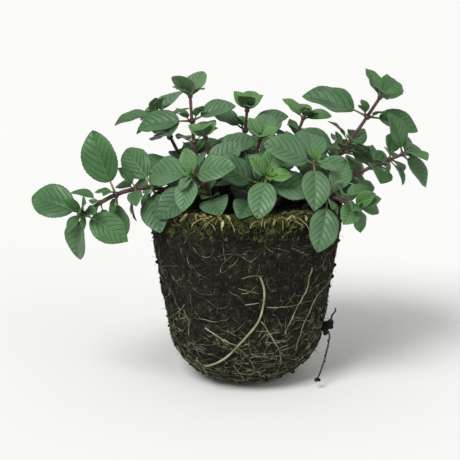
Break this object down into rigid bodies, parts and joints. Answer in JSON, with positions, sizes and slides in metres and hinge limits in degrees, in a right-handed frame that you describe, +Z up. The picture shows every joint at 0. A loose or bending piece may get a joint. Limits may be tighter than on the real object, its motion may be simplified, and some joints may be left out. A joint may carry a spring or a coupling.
{
  "type": "peppermint plant with bare root ball",
  "caption": "Leafy peppermint plant lifted out of its pot: a tapered round ball of rooted peat with low trailing stems, paired oval leaves and a little moss on its soil.",
  "frame": {"origin": "middle of the root ball's flat underside", "axes": "+Z up, the plant's front towards -Y, the longest trailing stem towards -X"},
  "size_m": [0.1953, 0.1285, 0.1558],
  "materials": {
    "soil": "matte, moist and fibrous, like rooted peat",
    "moss": "matte, tufted",
    "root": "matte, pale and smooth",
    "stem": "satin, purple-brown",
    "leaf": "satin, softly quilted between its veins",
    "young_leaf": "satin, softly quilted between its veins"
  },
  "bodies": {
    "root": {"root_ball": "soil", "moss_cushion": "moss", "side_root": "root", "hanging_root": "root", "stem_back_centre": "stem", "stem_back_left": "stem", "stem_back_middle": "stem", "stem_back_right": "stem", "stem_back_right_low": "stem", "stem_centre": "stem", "stem_front_centre": "stem", "stem_front_left": "stem", "stem_front_right": "stem", "stem_inner_left": "stem", "stem_low_right": "stem", "stem_runner_left": "stem", "stem_runner_right": "stem", "stem_tall_right": "stem", "stem_upright_left": "stem", "leaf_pair_back_centre_1": "leaf", "leaf_pair_back_centre_2": "leaf", "leaf_pair_back_left_1": "leaf", "leaf_pair_back_left_2": "leaf", "leaf_pair_back_middle_1": "leaf", "leaf_pair_back_right_1": "leaf", "leaf_pair_back_right_2": "leaf", "leaf_pair_back_right_low_1": "leaf", "leaf_pair_centre_1": "leaf", "leaf_pair_centre_2": "leaf", "leaf_pair_front_centre_1": "leaf", "leaf_pair_front_centre_2": "leaf", "leaf_pair_front_left_1": "leaf", "leaf_pair_front_left_2": "leaf", "leaf_pair_front_right_1": "leaf", "leaf_pair_inner_left_1": "leaf", "leaf_pair_inner_left_2": "leaf", "leaf_pair_low_right_1": "leaf", "leaf_pair_runner_left_1": "leaf", "leaf_pair_runner_left_2": "leaf", "leaf_pair_runner_right_1": "leaf", "leaf_pair_runner_right_2": "leaf", "leaf_pair_tall_right_1": "leaf", "leaf_pair_tall_right_2": "leaf", "leaf_pair_upright_left_1": "leaf", "leaf_pair_upright_left_2": "leaf", "tip_back_centre": "young_leaf", "tip_back_left": "young_leaf", "tip_back_middle": "young_leaf", "tip_back_right": "young_leaf", "tip_back_right_low": "young_leaf", "tip_centre": "young_leaf", "tip_front_centre": "young_leaf", "tip_front_left": "young_leaf", "tip_front_right": "young_leaf", "tip_inner_left": "young_leaf", "tip_low_right": "young_leaf", "tip_runner_left": "young_leaf", "tip_runner_right": "young_leaf", "tip_tall_right": "young_leaf", "tip_upright_left": "young_leaf"}
  },
  "joints": []
}
